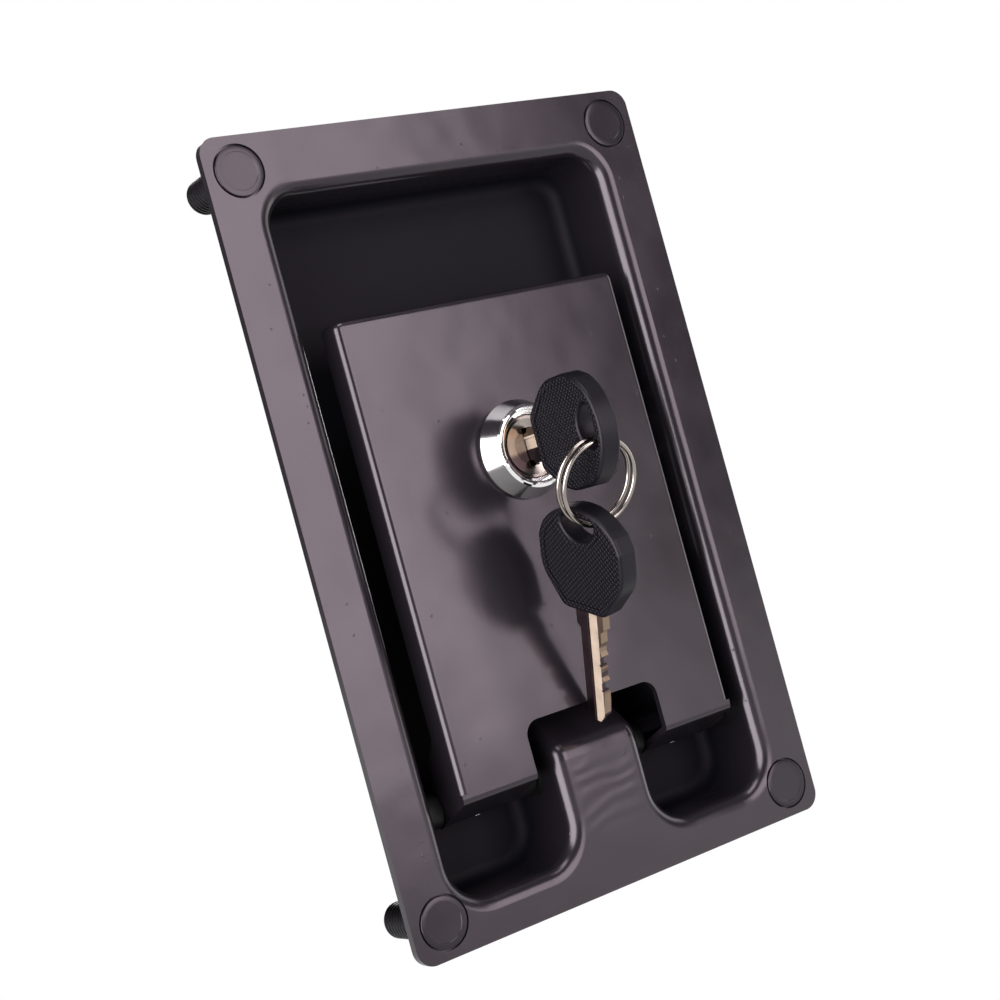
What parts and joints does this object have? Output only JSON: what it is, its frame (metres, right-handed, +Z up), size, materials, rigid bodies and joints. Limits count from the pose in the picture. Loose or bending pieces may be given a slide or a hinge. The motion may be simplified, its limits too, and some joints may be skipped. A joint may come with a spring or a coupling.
{
  "type": "flush paddle latch",
  "caption": "Flush black paddle latch with a recessed dish, spring bolt, key-locked cam, threaded mounting studs and keys on a split ring.",
  "frame": {"origin": "centre of the flange's back face, in the middle of the rectangle of mounting studs", "axes": "+Y into the door along the studs, -Y out towards the hand, +Z up the plate's long side from the pivot to the paddle's free edge, +X across the plate"},
  "size_m": [0.114, 0.0646, 0.1805],
  "materials": {
    "black_coat": "satin black powder coat on pressed steel, slightly uneven, lightly rubbed on the edges",
    "black_stud": "satin black coat on threaded steel studs",
    "zinc": "bright zinc-plated steel",
    "spring_steel": "drawn spring wire, lightly oiled",
    "black_oxide": "black oxide on hardened steel",
    "bolt_steel": "sintered steel, tumbled and zinc plated",
    "bush": "black acetal",
    "chrome": "bright chrome plate on die-cast zinc",
    "plug_metal": "plated die-cast plug, warm grey, fine turning marks",
    "brass": "stamped brass",
    "key_plastic": "black moulded plastic with a fine diamond texture on both faces",
    "key_metal": "nickel-plated brass, bright where it was milled and cut",
    "ring_steel": "nickel-plated spring wire"
  },
  "bodies": {
    "dish": {"dish_plate": "black_coat", "mounting_studs": "black_stud", "pivot_bushes": "bush", "bolt_guide": "zinc", "guide_rivets": "black_coat", "bolt_spring": "spring_steel", "cam_keeper": "zinc", "keeper_rivets": "black_coat"},
    "paddle": {"paddle_plate": "black_coat", "pivot_shaft": "black_oxide", "shaft_clips": "black_oxide", "pivot_spacers": "bush", "drive_pins": "spring_steel", "release_arm": "zinc", "lock_barrel": "chrome", "lock_washer": "zinc", "lock_nut": "zinc"},
    "bolt": {"latch_bolt": "bolt_steel", "bolt_pin": "black_oxide"},
    "plug": {"lock_plug": "plug_metal", "wafers": "brass", "stop_washer": "zinc", "lock_cam": "zinc", "cam_spring_washer": "spring_steel", "cam_screw": "zinc"},
    "key_1": {"key_1_bow": "key_plastic", "key_1_blade": "key_metal"},
    "ring": {"key_ring": "ring_steel"},
    "key_2": {"key_2_bow": "key_plastic", "key_2_blade": "key_metal"}
  },
  "joints": [
    {"name": "paddle_hinge", "type": "hinge", "parent": "dish", "child": "paddle", "pos_m": [0, 0.0095, -0.0605], "axis": [1, 0, 0], "range_deg": [0, 38], "stiffness_Nm_per_rad": 0.0856, "springref_deg": -71.96},
    {"name": "bolt_slide", "type": "slide", "parent": "dish", "child": "bolt", "axis": [0, 0, 1], "range_m": [0, 0.008], "deforming": ["bolt_spring"]},
    {"name": "plug_turn", "type": "hinge", "parent": "paddle", "child": "plug", "pos_m": [0, 0, 0.0104], "axis": [0, 1, 0], "range_deg": [0, 90]},
    {"name": "key_1_slide", "type": "slide", "parent": "plug", "child": "key_1", "axis": [0, -1, 0], "range_m": [0, 0.027]},
    {"name": "ring_swing", "type": "hinge", "parent": "key_1", "child": "ring", "pos_m": [0, -0.0333, 0.0074], "axis": [1, 0, 0], "range_deg": [-60, 0]},
    {"name": "key_2_swing", "type": "hinge", "parent": "ring", "child": "key_2", "pos_m": [-0.0034, -0.02579, -0.00948], "axis": [1, 0, 0], "range_deg": [-12, 0]}
  ],
  "couplings": [
    {"joint": "bolt_slide", "follows": "paddle_hinge", "m_per_rad": 0.011941}
  ]
}
